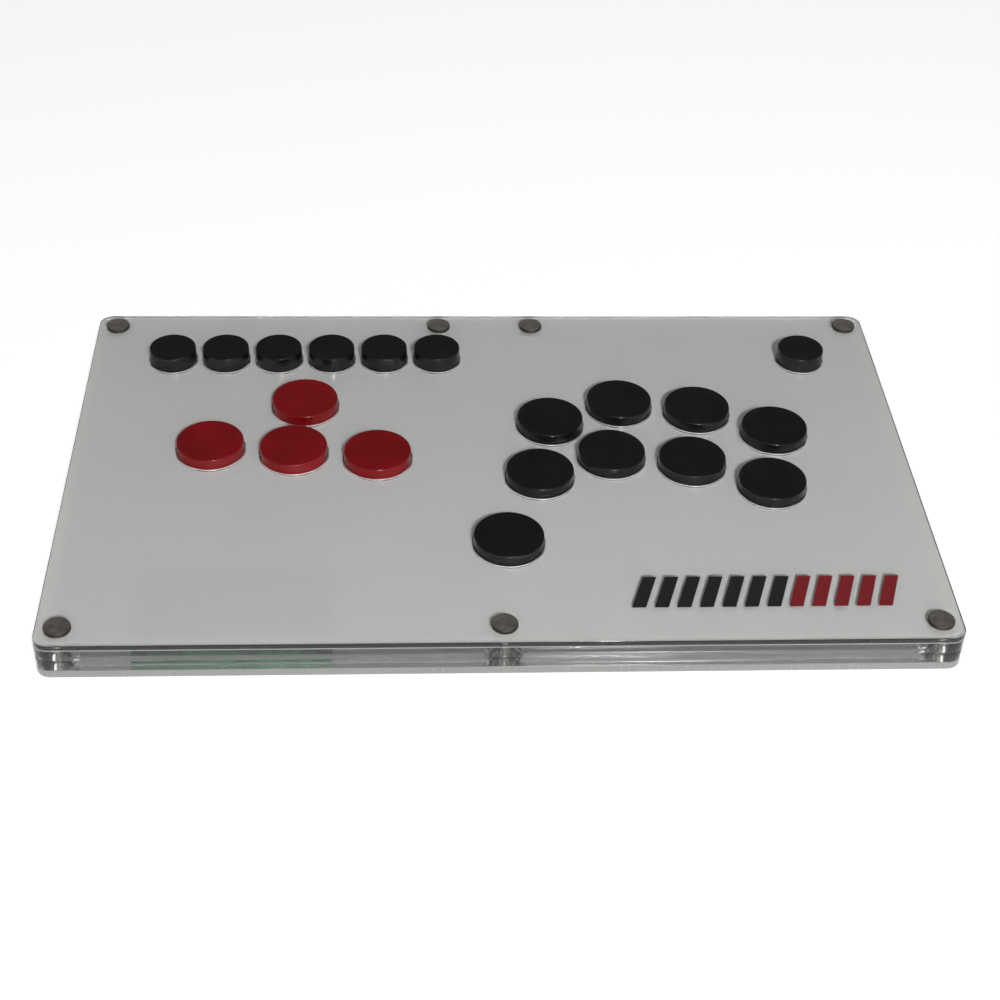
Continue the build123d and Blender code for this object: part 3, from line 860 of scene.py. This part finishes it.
def chip_legs():
    """Flat legs on the four sides of the processor."""
    board_low, board_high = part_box("encoder_board")
    top = board_high.z
    x0 = (board_low.x + board_high.x) / 2
    y0 = (board_low.y + board_high.y) / 2 + CHIP_OFFSET_Y
    bm = bmesh.new()
    for k in range(LEGS):
        along = (k - (LEGS - 1) / 2) * LEG_PITCH
        for side in (-1, 1):
            inner, outer = sorted((side * CHIP_HALF, side * (CHIP_HALF + LEG_REACH)))
            add_box(bm, (x0 + inner, y0 + along - LEG_HALF, top),
                    (x0 + outer, y0 + along + LEG_HALF, top + LEG_T))
            add_box(bm, (x0 + along - LEG_HALF, y0 + inner, top),
                    (x0 + along + LEG_HALF, y0 + outer, top + LEG_T))
    piece("chip_legs", mesh_from(bm, "chip_legs"), "spring_steel", material=SOLDER)


# rows of small parts: y, first x, pitch and how many
SMALL_PART_ROWS = [
    (-84.2 * MM, -108.0 * MM, 5.4 * MM, 9),
    (-81.0 * MM, -104.0 * MM, 6.4 * MM, 3),
    (-60.9 * MM, -109.0 * MM, 7.4 * MM, 4),
]
SMALL_HALF_X = 0.5 * MM
SMALL_HALF_Y = 0.4 * MM
SMALL_END = 0.3 * MM
SMALL_T = 0.45 * MM


def small_parts():
    """Ceramic parts with bare metal ends, in rows on the encoder board."""
    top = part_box("encoder_board")[1].z
    bodies = bmesh.new()
    ends = bmesh.new()
    for y, first, pitch, count in SMALL_PART_ROWS:
        for k in range(count):
            x = first + pitch * k
            add_box(bodies, (x - SMALL_HALF_X, y - SMALL_HALF_Y, top),
                    (x + SMALL_HALF_X, y + SMALL_HALF_Y, top + SMALL_T))
            for side in (-1, 1):
                inner, outer = sorted((side * SMALL_HALF_X, side * (SMALL_HALF_X + SMALL_END)))
                add_box(ends, (x + inner, y - SMALL_HALF_Y, top),
                        (x + outer, y + SMALL_HALF_Y, top + SMALL_T))
    for name, bm, slot, material in (
        ("small_part_bodies", bodies, "spacer_nylon", CERAMIC),
        ("small_part_ends", ends, "spring_steel", SOLDER),
    ):
        piece(name, mesh_from(bm, name), slot, material=material)


USB_CONTACTS = 12
USB_PITCH = 0.5 * MM
USB_STRIP_HALF = 0.12 * MM
USB_STRIP_FRONT = 3.6 * MM
USB_STRIP_BACK = 0.3 * MM
USB_STRIP_RELIEF = 0.03 * MM
TONGUE_HALF_T = 0.35 * MM


def usb_contacts():
    """Gold strips on both faces of the receptacle's tongue."""
    low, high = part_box("usb_tongue")
    level = (low.z + high.z) / 2
    bm = bmesh.new()
    for k in range(USB_CONTACTS):
        x = (k - (USB_CONTACTS - 1) / 2) * USB_PITCH
        for side in (-1, 1):
            face = level + side * TONGUE_HALF_T
            add_box(bm, (x - USB_STRIP_HALF, high.y - USB_STRIP_FRONT, face - USB_STRIP_RELIEF),
                    (x + USB_STRIP_HALF, high.y - USB_STRIP_BACK, face + USB_STRIP_RELIEF))
    piece("usb_contacts", mesh_from(bm, "usb_contacts"), "contact_brass")


# ---- print on the panel: plain slanted bars ----
BARS = 12
RED_BARS = 5
BAR_ZONE_X = (42.0 * MM, 136.0 * MM)
BAR_ZONE_Y = (-78.0 * MM, -63.0 * MM)
BAR_SLANT = 5.0 * MM
BAR_SHARE = 0.62
PRINT_T = 0.02 * MM


def panel_print():
    """A row of slanted bars, black and then red, in place of any wording."""
    pitch = (BAR_ZONE_X[1] - BAR_ZONE_X[0] - BAR_SLANT) / BARS
    for name, first, last, paint in (
        ("print_dark_bars", 0, BARS - RED_BARS, BLACK_PRINT),
        ("print_red_bars", BARS - RED_BARS, BARS, RED_PRINT),
    ):
        bm = bmesh.new()
        for i in range(first, last):
            left = BAR_ZONE_X[0] + pitch * i
            right = left + pitch * BAR_SHARE
            outline = [(left, BAR_ZONE_Y[0]), (right, BAR_ZONE_Y[0]),
                       (right + BAR_SLANT, BAR_ZONE_Y[1]), (left + BAR_SLANT, BAR_ZONE_Y[1])]
            lower = [bm.verts.new((x, y, PANEL_TOP)) for x, y in outline]
            upper = [bm.verts.new((x, y, PANEL_TOP + PRINT_T)) for x, y in outline]
            bm.faces.new(lower)
            bm.faces.new(upper)
            for k in range(4):
                j = (k + 1) % 4
                bm.faces.new((lower[k], lower[j], upper[j], upper[k]))
        piece(name, mesh_from(bm, name), "black_cap" if first == 0 else "red_cap", material=paint)


# ---- CAD nodes that stay, with their finish ----
def finish_cad_nodes():
    for sub in frame["record"]["subparts"]:
        node = nodes[sub["node"]]
        material = MATERIALS[sub["material_slot"]]
        node.data.materials.clear()
        node.data.materials.append(material)
        smooth_by_angle(node.data, 30.0)


# ---- studio ----
# the camera's angles are in degrees and its lens in millimetres of a 36 mm frame
CAMERA_PLACE = (-33.6 * MM, -528.8 * MM, 411.0 * MM + PANEL_TOP)
CAMERA_YAW = 3.94
CAMERA_DROP = 38.97
CAMERA_ROLL = 2.2
CAMERA_LENS = 67.52
FLOOR_HALF = 6.0
# each lamp: its place, its diameter in metres and its power in watts
KEY = ((0.2, -1.3, 1.2), 0.16, 16.5)
TOP_FILL = ((0.3, 0.1, 2.2), 1.4, 6.0)
# the sky's two stops: how high they are and their colour
SKY_LOW = (0.2, (0.6, 0.6, 0.6, 1.0))
SKY_HIGH = (0.42, (0.09, 0.09, 0.094, 1.0))


def camera():
    data = bpy.data.cameras.new("camera")
    data.sensor_width = 36.0
    data.lens = CAMERA_LENS
    data.clip_start = 0.01
    data.clip_end = 50.0
    thing = bpy.data.objects.new("camera", data)
    bpy.context.scene.collection.objects.link(thing)
    aim = Euler((math.radians(90 - CAMERA_DROP), 0.0, math.radians(-CAMERA_YAW))).to_matrix()
    roll = Matrix.Rotation(math.radians(CAMERA_ROLL), 3, "Z")
    thing.matrix_world = Matrix.Translation(CAMERA_PLACE) @ (aim @ roll).to_4x4()
    bpy.context.scene.camera = thing


def area_light(name, place, size, power):
    """A round lamp that points at the middle of the object's footprint."""
    data = bpy.data.lights.new(name, "AREA")
    data.shape = "DISK"
    data.size = size
    data.energy = power
    thing = bpy.data.objects.new(name, data)
    bpy.context.scene.collection.objects.link(thing)
    thing.location = place
    thing.rotation_euler = (-Vector(place)).to_track_quat("-Z", "Y").to_euler()


def studio():
    bm = bmesh.new()
    bmesh.ops.create_grid(bm, x_segments=24, y_segments=24, size=FLOOR_HALF)
    floor = bpy.data.objects.new("floor", mesh_from(bm, "floor"))
    floor.data.materials.append(floor_paint())
    bpy.context.scene.collection.objects.link(floor)
    area_light("key", *KEY)
    area_light("top_fill", *TOP_FILL)
    world = bpy.data.worlds.new("studio")
    bpy.context.scene.world = world
    world.use_nodes = True
    tree = world.node_tree
    background = tree.nodes["Background"]
    coords = tree.nodes.new("ShaderNodeTexCoord")
    split = tree.nodes.new("ShaderNodeSeparateXYZ")
    ramp = tree.nodes.new("ShaderNodeValToRGB")
    tree.links.new(coords.outputs["Generated"], split.inputs[0])
    tree.links.new(split.outputs["Z"], ramp.inputs["Fac"])
    tree.links.new(ramp.outputs["Color"], background.inputs["Color"])
    for stop, (position, colour) in zip(ramp.color_ramp.elements, (SKY_LOW, SKY_HIGH)):
        stop.position = position
        stop.color = colour
    bpy.context.scene.view_settings.view_transform = "Standard"


finish_cad_nodes()
case_sheets()
button_caps()
case_bolts()
case_nuts()
rubber_feet()
board_header()
solder_joints()
chip_legs()
small_parts()
usb_contacts()
panel_print()
camera()
studio()
